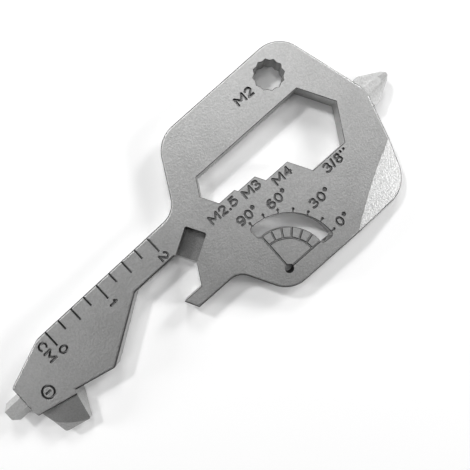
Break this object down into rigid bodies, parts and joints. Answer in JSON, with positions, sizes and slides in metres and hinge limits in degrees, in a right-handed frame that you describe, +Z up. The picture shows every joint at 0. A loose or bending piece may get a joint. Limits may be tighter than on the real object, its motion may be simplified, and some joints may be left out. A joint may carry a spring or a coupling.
{
  "type": "key-shaped pocket multi-tool",
  "caption": "Flat key-shaped steel tool with nested hexagon openings, an open jaw with claw, a graduated edge, a protractor slot and driver tips.",
  "frame": {"origin": "under the middle of the tool's box, on the face it lies on", "axes": "+X along the key from the hexagon bit to the cross tip, +Y across it towards the twelve-point hole, +Z up out of the marked face"},
  "size_m": [0.0744, 0.0296, 0.003],
  "materials": {
    "blasted_steel": "bead-blasted, matt"
  },
  "bodies": {
    "root": {"key_tool": "blasted_steel"}
  },
  "joints": []
}
